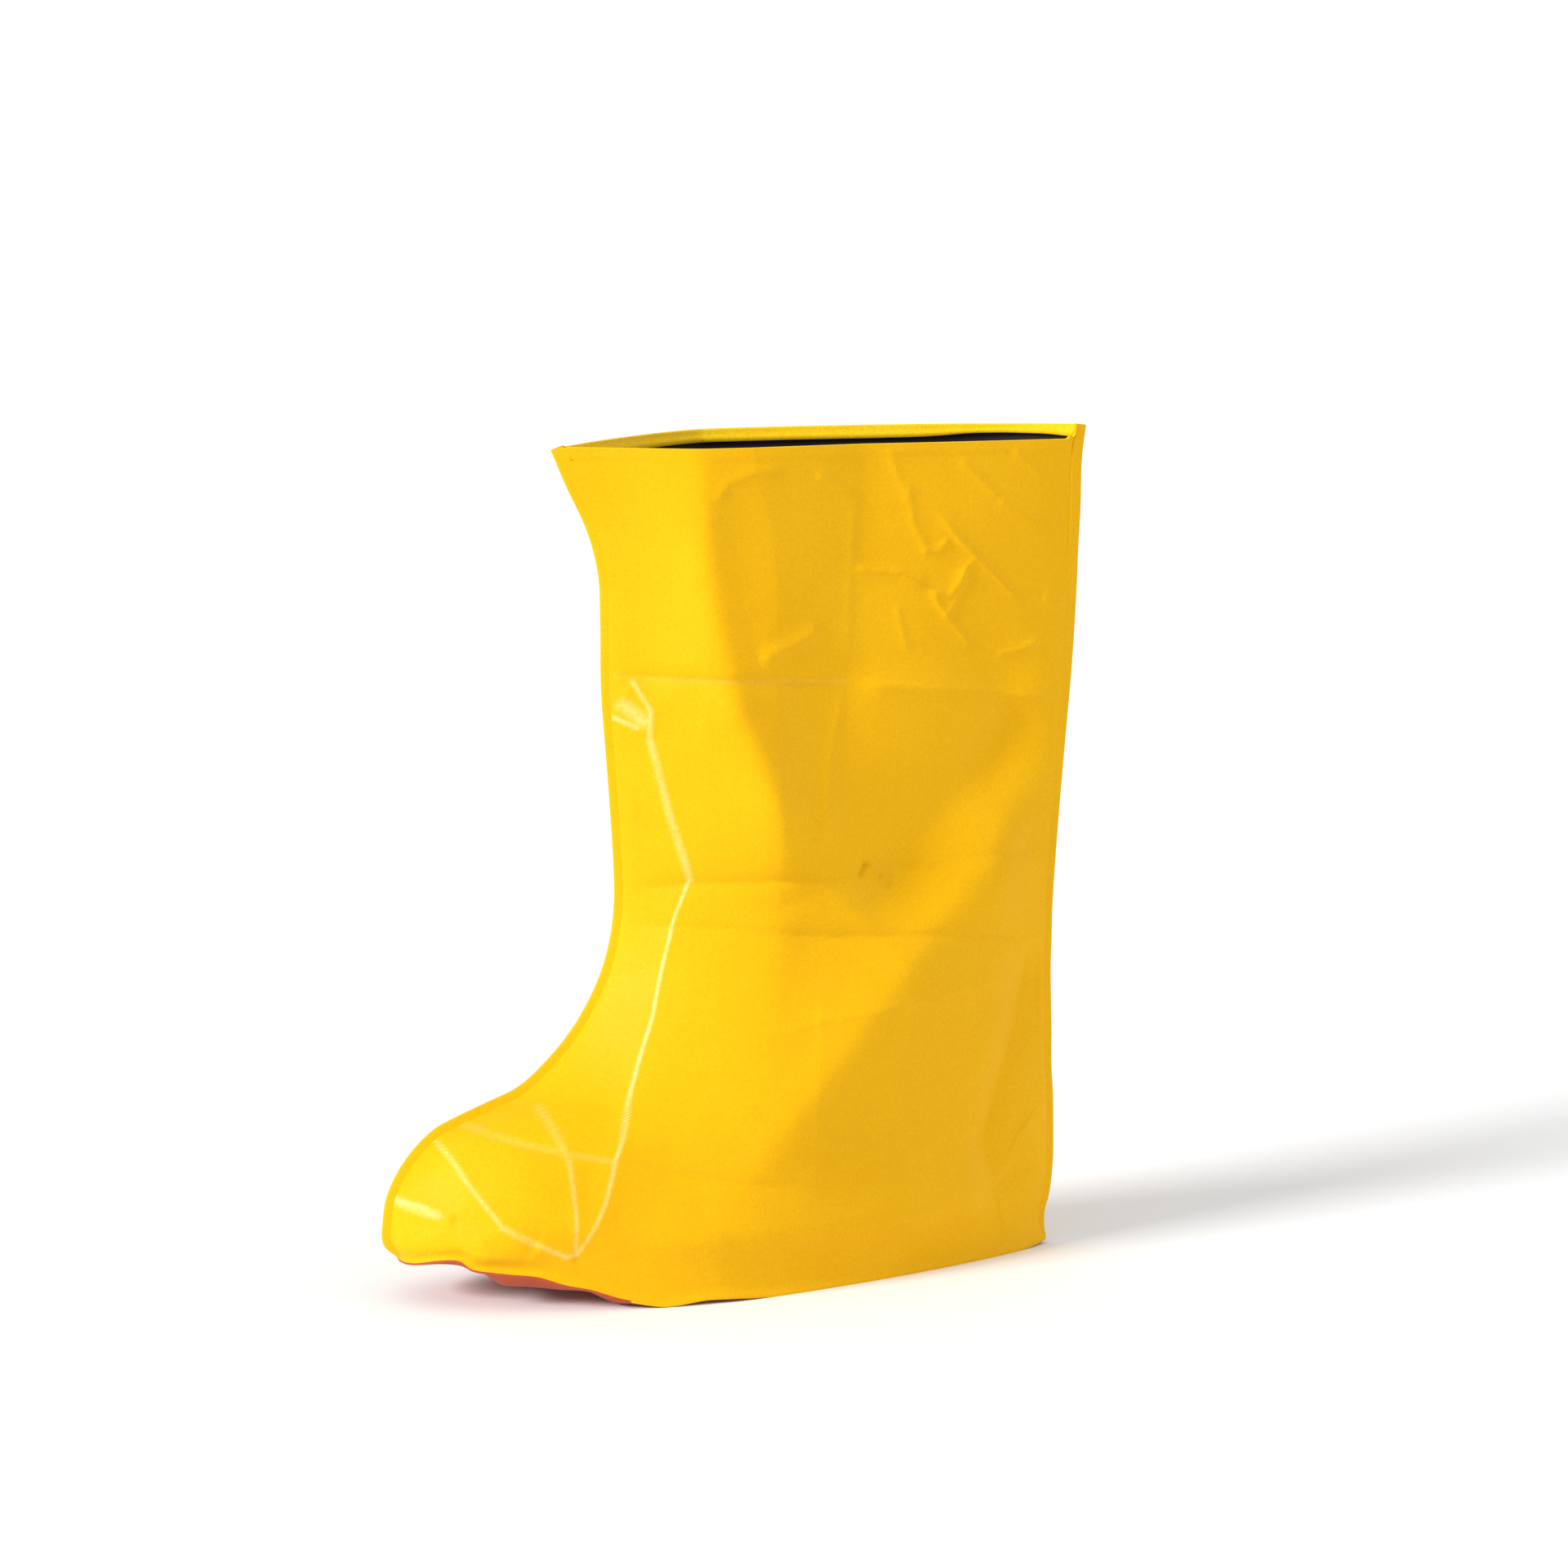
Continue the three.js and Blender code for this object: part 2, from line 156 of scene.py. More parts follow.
# Broad folds of the slack sheet. side: 1 left, -1 right. path: share of foot_length ahead of the
# heel, share of boot_height. rise: millimetres, negative for a trough. ahead, behind: spread in
# millimetres on the left and on the right hand of the path. round: how blunt its line is, in
# millimetres.
broad_folds = [
    dict(side=1, path=[(0.57, 1.04), (0.56, 0.88), (0.545, 0.78), (0.515, 0.68), (0.46, 0.56),
                       (0.42, 0.46)],
         rise=14, ahead=28, behind=20, round=8),
    dict(side=1, path=[(0.605, 0.68), (0.59, 0.735), (0.565, 0.745), (0.54, 0.72), (0.515, 0.66)],
         rise=2, ahead=12, behind=10, round=4),
    dict(side=1, path=[(0.3, 1.04), (0.33, 0.74), (0.37, 0.56)], rise=-7, ahead=38, behind=45,
         round=5),
    dict(side=1, path=[(-0.02, 0.69), (0.18, 0.55), (0.33, 0.43)],
         rise=-12, ahead=30, behind=30, round=9),
    dict(side=1, path=[(-0.02, 0.57), (0.13, 0.47), (0.3, 0.335), (0.58, 0.1)],
         rise=13, ahead=24, behind=45, round=15),
    dict(side=1, path=[(0.05, 0.08), (0.4, 0.075), (0.72, 0.09), (0.86, 0.15), (0.95, 0.22)],
         rise=6, ahead=22, behind=22, round=8),
    dict(side=-1, path=[(0.47, 1.0), (0.5, 0.5)], rise=6, ahead=26, behind=26, round=12),
    dict(side=-1, path=[(0.05, 1.0), (0.1, 0.6)], rise=9, ahead=32, behind=16, round=12),
    dict(side=-1, path=[(0.1, 0.6), (0.6, 0.22)], rise=6, ahead=32, behind=38, round=12),
]


def mix(a, b, share):
    """The value at a share of the way from a to b."""
    return a + (b - a) * share


def smooth(value):
    """0 up to 0, 1 from 1 on, and between those a smooth step."""
    value = np.clip(value, 0.0, 1.0)
    return value * value * (3.0 - 2.0 * value)


def read(rows, key, column, place):
    """A column of a table at places between its rows, as one smooth curve."""
    keys = np.array([row[key] for row in rows])
    values = np.array([row[column] for row in rows])
    last = len(rows) - 2
    k = np.clip(np.searchsorted(keys[1:], place, side="left"), 0, last)
    a, b = np.maximum(k - 1, 0), np.minimum(k + 2, last + 1)
    before = (values[k + 1] - values[a]) / (keys[k + 1] - keys[a])
    after = (values[b] - values[k]) / (keys[b] - keys[k])
    gap = keys[k + 1] - keys[k]
    t = np.clip((place - keys[k]) / gap, 0.0, 1.0)
    rise = values[k + 1] - values[k]
    bend = gap * t * (1 - t) * (before * (1 - t) - after * t)
    return values[k] + rise * t * t * (3 - 2 * t) + bend


profile = [
    dict(height=row["up"] * ankle_height, front=row["front"] * foot_length,
         back=row["back"] * foot_length, left=row["left"] * ball_width,
         right=row["right"] * ball_width)
    for row in foot_profile
] + [
    dict(height=mix(ankle_height, boot_height, row["up"]), front=row["front"] * collar_length,
         back=row["back"] * collar_length, left=row["left"] * collar_width,
         right=row["right"] * collar_width)
    for row in shaft_profile
]


def spread(height, back):
    """Half width of a level section at a share of the way back, as a share of its widest."""
    up = height / boot_height
    crown = read(roundings, "up", "crown", up)
    ahead = back < crown
    away = np.where(ahead, (crown - back) / crown, (back - crown) / (1 - crown))
    blunt = np.where(ahead, read(roundings, "up", "front_round", up),
                     read(roundings, "up", "back_round", up))
    flank = np.where(ahead, read(roundings, "up", "front_flank", up),
                     read(roundings, "up", "back_flank", up))
    return np.maximum(0.0, 1 - np.abs(away) ** flank) ** (1 / blunt)


def from_path(path, x, z):
    """Distance from a path to places of a panel, which hand they are on (1 left, -1 right, and
    between those beyond its ends), and the share along it."""
    points = np.array(path) * (foot_length, boot_height)
    runs = np.diff(points, axis=0)
    lengths = np.hypot(runs[:, 0], runs[:, 1])
    starts = np.concatenate([[0.0], np.cumsum(lengths)[:-1]])
    nearest = np.full(x.shape, np.inf)
    hand = np.ones_like(x)
    along = np.zeros_like(x)
    for point, run, length, start in zip(points, runs, lengths, starts):
        dx, dz = x - point[0], z - point[1]
        share = np.clip((dx * run[0] + dz * run[1]) / length**2, 0.0, 1.0)
        far = np.hypot(dx - share * run[0], dz - share * run[1])
        closer = far < nearest
        nearest = np.where(closer, far, nearest)
        across = (run[0] * dz - run[1] * dx) / length
        hand = np.where(closer, across / np.maximum(far, 1e-9), hand)
        along = np.where(closer, start + share * length, along)
    return nearest, hand, along / lengths.sum()


def end_fade(along, steepness, start):
    """Fades a fold at both ends of its path. start: how much of it is there at its very end."""
    return smooth(along * steepness + start) * smooth((1 - along) * steepness + start)


def broad_fold(side, x, z):
    """Height of the broad folds at places of a panel, in metres."""
    out = np.zeros_like(x)
    for fold in broad_folds:
        if fold["side"] != side:
            continue
        nearest, hand, along = from_path(fold["path"], x, z)
        reach = mix(fold["behind"], fold["ahead"], 0.5 + 0.5 * hand) / 1000
        blunt = fold["round"] / 1000
        away = np.hypot(nearest, blunt) - blunt
        out += fold["rise"] / 1000 * np.exp(-away / reach) * end_fade(along, 3.5, 0.2)
    return out


def sole_rise(x, line):
    """How far the sole's edge or its middle line lifts off the floor at places along the foot."""
    along = np.clip(x / foot_length, 0.0, 1.0)
    return toe_spring * np.maximum(0.0, read(sole_rises, "along", line, along))


# Sharp lines where the cover lay folded in its packet. path: share of foot_length ahead of the
# heel, share of boot_height. rise: millimetres, negative for a trough. ahead, behind: spread in
# millimetres on the left and on the right hand of the path. sharp: 0 a round top, 1 a sharp crest.
packing_folds = [
    dict(path=[(0.668, 0.724), (0.62, 0.724), (0.53, 0.723), (0.341, 0.711)],
         rise=-3, ahead=6, behind=3.5, sharp=1.0),
    dict(path=[(0.341, 0.711), (0.222, 0.699), (-0.002, 0.673)],
         rise=5, ahead=14, behind=7, sharp=1.0),
    dict(path=[(0.318, 0.965), (0.33, 0.851), (0.341, 0.711)],
         rise=1.3, ahead=7, behind=10, sharp=0.8),
    dict(path=[(0.341, 0.711), (0.368, 0.632), (0.396, 0.508)],
         rise=2, ahead=5, behind=12, sharp=0.8),
    dict(path=[(0.647, 0.474), (0.57, 0.482), (0.46, 0.485), (0.327, 0.48)],
         rise=-2.3, ahead=5, behind=4, sharp=1.0),
    dict(path=[(0.282, 0.488), (0.199, 0.488), (0.119, 0.492), (0.009, 0.493)],
         rise=-2, ahead=4, behind=6, sharp=1.0),
    dict(path=[(0.648, 0.432), (0.541, 0.43), (0.462, 0.424), (0.385, 0.414)],
         rise=-1.6, ahead=4, behind=3, sharp=1.0),
    dict(path=[(0.45, 0.425), (0.385, 0.414), (0.206, 0.405), (0.031, 0.387)],
         rise=-3, ahead=7, behind=5, sharp=1.0),
    dict(path=[(0.496, 0.303), (0.397, 0.322), (0.292, 0.328), (0.178, 0.336), (0.053, 0.342)],
         rise=1.3, ahead=4, behind=8, sharp=0.9),
    dict(path=[(0.894, 0.205), (0.83, 0.191), (0.718, 0.172), (0.602, 0.151), (0.431, 0.125)],
         rise=-1.5, ahead=4, behind=3, sharp=1.0),
    dict(path=[(0.431, 0.125), (0.2, 0.112), (0.018, 0.103)],
         rise=-0.8, ahead=5, behind=5, sharp=1.0),
    dict(path=[(0.399, 0.367), (0.42, 0.234), (0.427, 0.107)],
         rise=0.4, ahead=4, behind=7, sharp=0.9),
]
# Pinched ridges of the left panel at the instep and the toe, where the welds hold the slack sheet
pinched_ridges = [
    dict(path=[(0.88, 0.3), (0.915, 0.2), (0.91, 0.1), (0.88, 0.03)],
         rise=7, ahead=16, behind=42, sharp=0.4),
    dict(path=[(0.97, 0.22), (0.945, 0.14), (0.9, 0.085)],
         rise=-2.5, ahead=10, behind=12, sharp=0.2),
    dict(path=[(0.624, 0.651), (0.6, 0.56), (0.574, 0.486)],
         rise=1.6, ahead=6, behind=9, sharp=0.6),
    dict(path=[(0.574, 0.486), (0.593, 0.447), (0.634, 0.324), (0.712, 0.175), (0.733, 0.129),
               (0.774, 0.068)],
         rise=2.2, ahead=8, behind=16, sharp=0.7),
    dict(path=[(0.774, 0.068), (0.79, 0.066), (0.833, 0.083)],
         rise=1.2, ahead=5, behind=7, sharp=0.6),
    dict(path=[(0.937, 0.192), (0.911, 0.146), (0.875, 0.102), (0.833, 0.083)],
         rise=1.4, ahead=6, behind=9, sharp=0.7),
    dict(path=[(0.795, 0.224), (0.776, 0.174), (0.777, 0.073)],
         rise=0.7, ahead=4, behind=5, sharp=0.7),
    dict(path=[(0.998, 0.121), (0.965, 0.117), (0.93, 0.106)],
         rise=1.8, ahead=6, behind=4, sharp=0.5),
    dict(path=[(0.035, 0.381), (0.069, 0.275), (0.127, 0.148), (0.103, 0.085), (0.018, 0.103)],
         rise=-5.5, ahead=9, behind=15, sharp=0.8),
    dict(path=[(0.668, 0.676), (0.644, 0.718)], rise=1.0, ahead=2.5, behind=4, sharp=0.9),
    dict(path=[(0.644, 0.718), (0.623, 0.685), (0.624, 0.651)],
         rise=1.0, ahead=4, behind=2.5, sharp=0.9),
]
# Crinkles of the left panel high on the calf
crinkles = [
    dict(path=[(0.328, 0.844), (0.254, 0.836), (0.208, 0.818)],
         rise=2.1, ahead=3, behind=1.8, sharp=0.9),
    dict(path=[(0.208, 0.818), (0.182, 0.784), (0.133, 0.739)],
         rise=1.5, ahead=2.2, behind=2.2, sharp=0.9),
    dict(path=[(0.208, 0.812), (0.175, 0.805), (0.147, 0.838), (0.129, 0.849)],
         rise=1.4, ahead=1.8, behind=2.2, sharp=0.9),
    dict(path=[(0.239, 0.948), (0.231, 0.895), (0.207, 0.855)],
         rise=0.9, ahead=3, behind=2.2, sharp=0.8),
    dict(path=[(0.193, 0.903), (0.133, 0.851), (0.072, 0.804), (0.043, 0.788)],
         rise=1.8, ahead=2.2, behind=2.2, sharp=0.9),
    dict(path=[(0.147, 0.838), (0.168, 0.795), (0.184, 0.778)],
         rise=1.4, ahead=2.2, behind=1.8, sharp=0.9),
    dict(path=[(0.098, 0.73), (0.056, 0.735), (0.021, 0.745)],
         rise=1.8, ahead=2.2, behind=1.8, sharp=0.9),
    dict(path=[(0.099, 0.918), (0.016, 0.88)], rise=1.4, ahead=2.2, behind=2.2, sharp=0.9),
    dict(path=[(0.159, 0.969), (0.092, 0.917)], rise=1.1, ahead=3, behind=2.2, sharp=0.8),
    dict(path=[(0.072, 0.975), (0.016, 0.938)], rise=1.1, ahead=2.2, behind=2.2, sharp=0.8),
    dict(path=[(0.221, 0.86), (0.194, 0.859), (0.174, 0.873)],
         rise=1.4, ahead=1.8, behind=1.8, sharp=0.9),
    dict(path=[(0.387, 0.958), (0.324, 0.929)], rise=1.4, ahead=2.2, behind=3, sharp=0.8),
    dict(path=[(0.547, 0.93), (0.523, 0.953), (0.48, 0.963), (0.437, 0.966)],
         rise=1.1, ahead=3, behind=3.8, sharp=0.6),
    dict(path=[(0.484, 0.745), (0.454, 0.753), (0.378, 0.777)],
         rise=2.1, ahead=5.2, behind=4.5, sharp=0.4),
    dict(path=[(0.261, 0.8), (0.242, 0.741)], rise=0.7, ahead=2.2, behind=2.2, sharp=0.8),
    dict(path=[(0.02, 0.796), (-0.03, 0.783)], rise=1.4, ahead=2.2, behind=1.8, sharp=0.9),
    dict(path=[(0.271, 0.983), (0.236, 0.914)], rise=0.8, ahead=3, behind=3, sharp=0.8),
    dict(path=[(0.327, 0.48), (0.311, 0.496)], rise=-2.7, ahead=2.2, behind=2.2, sharp=0.9),
    dict(path=[(0.311, 0.496), (0.292, 0.469), (0.276, 0.486)],
         rise=2.2, ahead=1.8, behind=2.2, sharp=0.9),
]


def line_relief(lines, x, z):
    """Height of the sharp lines at places of a panel, in metres."""
    out = np.zeros_like(x)
    for line in lines:
        nearest, hand, along = from_path(line["path"], x, z)
        reach = mix(line["behind"], line["ahead"], 0.5 + 0.5 * hand) / 1000
        crest = line["sharp"] * np.exp(-nearest / reach)
        mound = (1 - line["sharp"]) * np.exp(-((nearest / reach) ** 2))
        out += line["rise"] / 1000 * (crest + mound) * end_fade(along, 5, 0.15)
    return out


# High on the calf the stiff sheet is crumpled: small dished facets about 15 mm across, meeting in
# crisp ridges. Their places are drawn by lot, from a fixed start.
lots = np.random.default_rng(11)
facet_count = 330
facet_places = (lots.uniform((-0.12, 0.45), (0.62, 1.06), (facet_count, 2))
                * (foot_length, boot_height))
facet_tilts = lots.normal(0.0, 0.07, (facet_count, 2))
facet_slope = 0.13
facet_blunt = 0.005
# They are highest round a place given in shares of foot_length and boot_height, fade to a fifth
# further off, faster up and down than along, and start to show above a share of boot_height.
crumple_along, crumple_up = 0.13, 0.86
crumple_reach = 0.17
crumple_squash = 1.6
crumple_least = 0.22
crumple_start, crumple_growth = 0.5, 0.2


def crumple(x, z):
    """Height of the crumpled facets at places of a panel, in metres."""
    relief = np.full_like(x, np.inf)
    for place, tilt in zip(facet_places, facet_tilts):
        dx, dz = x - place[0], z - place[1]
        dish = facet_slope * np.sqrt(dx**2 + dz**2 + facet_blunt**2)
        relief = np.minimum(relief, dish + tilt[0] * dx + tilt[1] * dz)
    from_middle = np.hypot(x / foot_length - crumple_along,
                           (z / boot_height - crumple_up) * crumple_squash)
    share = mix(crumple_least, 1, smooth(1.5 - from_middle / crumple_reach))
    start = smooth((z / boot_height - crumple_start) / crumple_growth)
    return np.maximum(relief, 0.0) * share * start


# How much closer together the points of a row stand towards the welds, as a share
weld_crowding = 0.45
# Up to this height the panels follow the lift of the sole, less and less
lift_top = ankle_height * 0.63
lift_power = 1.5
# The rim's drops die away downwards with this power of the height
drop_power = 6
# The welds hold the sheet. Broad folds and sharp lines grow to their full height over a share of
# the way in from a weld, and over a height above the sole.
fold_hold, fold_foot = 0.17, boot_height * 0.08
line_hold, line_foot = 0.03, 0.012
# The right panel's lines are shallower and fade out under its rim, over a share of boot_height
right_lines = 0.6
right_rim_fade = 0.04


def skin(side, turn, height, creased=True):
    """Outer face of one panel. turn: 0 front weld to 1 back weld. height: the row's height.
    creased: with its sharp lines, or else with their troughs only."""
    back = mix(turn, 0.5 - 0.5 * np.cos(math.pi * turn), weld_crowding)
    front_x = read(profile, "height", "front", height)
    back_x = read(profile, "height", "back", height)
    x = mix(front_x, back_x, back)
    lift = sole_rise(x, "edge") * np.clip(1 - height / lift_top, 0.0, 1.0) ** lift_power
    corner = front_drop * (1 - back) ** 2
    slant = left_drop * back * smooth((1 - back) / corner_length) if side > 0 else 0.0
    drop = (corner + slant) * (height / boot_height) ** drop_power
    base = (sole_thickness + weld_gap) * (1 - height / boot_height)
    z = height + lift - drop + base
    width = read(profile, "height", "left" if side > 0 else "right", height)
    from_weld = np.minimum(back, 1 - back)
    folds_free = smooth(from_weld / fold_hold) * smooth(height / fold_foot)
    y = width * spread(height, back) + folds_free * broad_fold(side, x, z)
    # The cover was packed flat, so its packing folds go through both panels
    lines_free = smooth(from_weld / line_hold) * smooth(height / line_foot)
    if side > 0:
        relief = line_relief(packing_folds + pinched_ridges + crinkles, x, z)
    else:
        below_rim = smooth((1 - height / boot_height) / right_rim_fade)
        lines_free = lines_free * below_rim * right_lines
        relief = line_relief(packing_folds, x, z)
    if creased:
        y = y + lines_free * (relief + crumple(x, z))
    else:
        y = y + lines_free * np.minimum(relief, 0.0)
    return np.stack([x + heel_x, side * y + centre_y, z], axis=-1)


def grid_faces(rows, columns, flip=False, closed=False):
    """Four-cornered faces of a grid of points, closed round its columns if asked."""
    last = columns if closed else columns - 1
    r, c = np.meshgrid(np.arange(rows - 1), np.arange(last), indexing="ij")
    next_c = (c + 1) % columns
    faces = np.stack([r * columns + c, r * columns + next_c,
                      (r + 1) * columns + next_c, (r + 1) * columns + c], axis=-1).reshape(-1, 4)
    return faces[:, ::-1] if flip else faces


def mesh_piece(name, points, faces, material):
    """An object in the scene made from a grid of points and its faces."""
    mesh = bpy.data.meshes.new(name)
    mesh.from_pydata(points.reshape(-1, 3).tolist(), [], faces.tolist())
    mesh.shade_smooth()
    mesh.materials.append(material)
    piece = bpy.data.objects.new(name, mesh)
    bpy.context.scene.collection.objects.link(piece)
    return piece


def linear(colour):
    """Linear red, green and blue of an sRGB hex colour."""
    parts = [int(colour[k:k + 2], 16) / 255 for k in (1, 3, 5)]
    return [p / 12.92 if p <= 0.04045 else ((p + 0.055) / 1.055) ** 2.4 for p in parts] + [1.0]


def new_material(name):
    """A material with no nodes yet."""
    material = bpy.data.materials.new(name)
    material.use_nodes = True
    material.node_tree.nodes.clear()
    return material


def node(material, kind, values=None, links=None, **settings):
    """A node of a material, with its settings, its inputs' values and the sockets linked in."""
    made = material.node_tree.nodes.new(kind)
    for key, value in settings.items():
        setattr(made, key, value)
    for key, value in (values or {}).items():
        made.inputs[key].default_value = value
    for key, source in (links or {}).items():
        material.node_tree.links.new(source, made.inputs[key])
    return made


# Plasticised PVC sheet, calendered between rollers: a satin skin with a faint haircell grain,
# slightly uneven gloss from handling, and a colour that varies a little with its thickness.
# Along its sharp creases, at the toe and on a small facet, painted highlights: thin pale lines and
# patches mixed into the colour.
vinyl = new_material("calendered_vinyl_yellow")
place = node(vinyl, "ShaderNodeTexCoord")
highlight_lines = node(vinyl, "ShaderNodeAttribute", attribute_name="painted_highlight")
cloud = node(vinyl, "ShaderNodeTexNoise", {"Scale": 14.0, "Detail": 3.0, "Roughness": 0.55},
             {"Vector": place.outputs["Object"]})
tint = node(vinyl, "ShaderNodeValToRGB", links={"Fac": cloud.outputs["Fac"]})
tint.color_ramp.elements[0].position = 0.35
tint.color_ramp.elements[0].color = linear("#e9b10a")
tint.color_ramp.elements[1].position = 0.65
tint.color_ramp.elements[1].color = linear("#edb70e")
# The haircell grain, about 0.3 mm in the real sheet, is drawn at 1.5 mm so that it shows
grain = node(vinyl, "ShaderNodeTexNoise", {"Scale": 650.0, "Detail": 4.0, "Roughness": 0.75},
             {"Vector": place.outputs["Object"]})
speckle = node(vinyl, "ShaderNodeMapRange", {"From Min": 0.3, "From Max": 0.7, "To Min": 0.0,
               "To Max": 0.6}, {"Value": grain.outputs["Fac"]})
grained = node(vinyl, "ShaderNodeMixRGB", {"Color2": linear("#d89a0a")},
               {"Fac": speckle.outputs["Result"], "Color1": tint.outputs["Color"]})
# The painted highlight is broken up into flecks of about 2.5 mm
blotch = node(vinyl, "ShaderNodeTexNoise", {"Scale": 420.0, "Detail": 2.0},
              {"Vector": place.outputs["Object"]})
patchy = node(vinyl, "ShaderNodeMapRange", {"From Min": 0.3, "From Max": 0.62, "To Min": 0.45,
              "To Max": 1.0}, {"Value": blotch.outputs["Fac"]})
highlight_flecks = node(vinyl, "ShaderNodeMath", None,
                 {0: highlight_lines.outputs["Fac"], 1: patchy.outputs["Result"]},
                 operation="MULTIPLY")
# Painted highlight: the crease lines and spots mix the colour towards pale yellow
creased = node(vinyl, "ShaderNodeMixRGB", {"Color2": linear("#fbe9a4")},
               {"Fac": highlight_flecks.outputs["Value"], "Color1": grained.outputs["Color"]})
handled = node(vinyl, "ShaderNodeTexNoise", {"Scale": 35.0, "Detail": 4.0},
               {"Vector": place.outputs["Object"]})
gloss = node(vinyl, "ShaderNodeMapRange", {"To Min": 0.4, "To Max": 0.55},
             {"Value": handled.outputs["Fac"]})
dent = node(vinyl, "ShaderNodeBump", {"Strength": 0.3, "Distance": 0.0002},
            {"Height": grain.outputs["Fac"]})
pucker = node(vinyl, "ShaderNodeTexNoise", {"Scale": 60.0, "Detail": 3.0, "Roughness": 0.5},
              {"Vector": place.outputs["Object"]})
uneven = node(vinyl, "ShaderNodeBump", {"Strength": 0.5, "Distance": 0.0006},
              {"Height": pucker.outputs["Fac"], "Normal": dent.outputs["Normal"]})
shade = node(vinyl, "ShaderNodeBsdfPrincipled", {"IOR": 1.53, "Specular IOR Level": 0.06},
             {"Base Color": creased.outputs["Color"],
              "Roughness": gloss.outputs["Result"], "Normal": uneven.outputs["Normal"]})
node(vinyl, "ShaderNodeOutputMaterial", links={"Surface": shade.outputs["BSDF"]})

# The panels' lowest few millimetres flare out to lie on the sole's trimmed edge. The turned-in
# hem stands proud by a fraction of a millimetre along the collar: its lower edge shows as a step
# hem_edge high, and towards the welds it dies away over a share of the way, hem_hold.
sole_margin = 0.0015
flare_height = 0.005
hem_depth = 0.007
hem_proud = 0.0004
hem_edge = 0.001
hem_hold = 0.04
# Painted highlights along the creases and on a few spots: path, half width in metres and strength.
# They are kept with the left panel's points, which stand close together towards the front weld.
painted_highlight_places = [
    ([(0.624, 0.651), (0.6, 0.56), (0.574, 0.486)], 0.003, 0.3),
    ([(0.574, 0.486), (0.593, 0.447)], 0.0014, 0.55),
    ([(0.593, 0.447), (0.634, 0.324), (0.712, 0.175)], 0.0013, 0.7),
    ([(0.712, 0.175), (0.733, 0.129), (0.774, 0.068), (0.79, 0.066)], 0.0018, 0.4),
    ([(0.79, 0.066), (0.833, 0.083)], 0.0025, 0.3),
    ([(0.937, 0.192), (0.911, 0.146), (0.875, 0.102)], 0.0018, 0.4),
    ([(0.875, 0.102), (0.833, 0.083)], 0.003, 0.25),
    ([(0.776, 0.174), (0.777, 0.073)], 0.0018, 0.3),
    ([(0.795, 0.224), (0.776, 0.174)], 0.003, 0.2),
    ([(0.894, 0.205), (0.83, 0.191), (0.718, 0.172)], 0.0024, 0.13),
    ([(0.644, 0.718), (0.623, 0.685), (0.624, 0.651)], 0.0022, 0.35),
    ([(0.655, 0.69), (0.632, 0.672)], 0.006, 0.35),
    ([(0.668, 0.676), (0.64, 0.664)], 0.002, 0.5),
    ([(0.999, 0.121), (0.965, 0.118)], 0.0022, 0.6),
    ([(0.99, 0.119), (0.955, 0.112)], 0.0045, 0.35),
    ([(0.666, 0.724), (0.53, 0.723), (0.341, 0.711)], 0.002, 0.06),
]
# The lowest rows of a panel's points stand close together, for the flare
flare_levels = [0.0, 0.0007, 0.0015, 0.0025, 0.0038]
first_level = 0.0052
# The front part of a panel, this share of the way back, has its own share of the columns
front_part = 0.4


def panel_turns(columns, front_share):
    """Turns from weld to weld, with this share of the columns in the front part."""
    front = round(columns * front_share)
    return np.concatenate([np.linspace(0.0, front_part, front, endpoint=False),
                           np.linspace(front_part, 1.0, columns - front)])


def panel(name, side, columns, rows, front_share):
    """One side panel. side: 1 left, -1 right."""
    upper_levels = np.linspace(first_level, boot_height, rows - len(flare_levels))
    levels = np.concatenate([flare_levels, upper_levels])
    turn, height = np.meshgrid(panel_turns(columns, front_share), levels)
    points = skin(side, turn, height)
    along = np.gradient(points[0], axis=0)
    outward = np.stack([along[:, 1], -along[:, 0]], axis=-1) * side
    outward /= np.linalg.norm(outward, axis=-1, keepdims=True)
    flare = np.clip(1 - levels / flare_height, 0.0, 1.0) ** 2
    points[..., :2] += outward[None] * flare[:, None, None] * sole_margin
    points[..., 2] -= flare[:, None] * weld_gap
    proud = smooth((levels - (boot_height - hem_depth)) / hem_edge) * hem_proud
    points[..., 1] += side * proud[:, None] * smooth(np.minimum(turn, 1 - turn) / hem_hold)
    piece = mesh_piece(name, points, grid_faces(rows, columns, flip=side < 0), vinyl)
    # Each point's share of painted highlight, kept as a point attribute
    painted_highlight = np.zeros((rows, columns))
    for path, width, strength in painted_highlight_places if side > 0 else []:
        nearest = from_path(path, points[..., 0] - heel_x, points[..., 2])[0]
        painted_highlight = np.maximum(painted_highlight, strength * smooth(1 - nearest / width))
    marks = piece.data.attributes.new("painted_highlight", "FLOAT", "POINT")
    marks.data.foreach_set("value", painted_highlight.ravel().astype(np.float32))
    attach(piece, "root")
    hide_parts("upper")


panel("left_panel", 1, 310, 320, 0.52)
panel("right_panel", -1, 200, 220, 0.4)
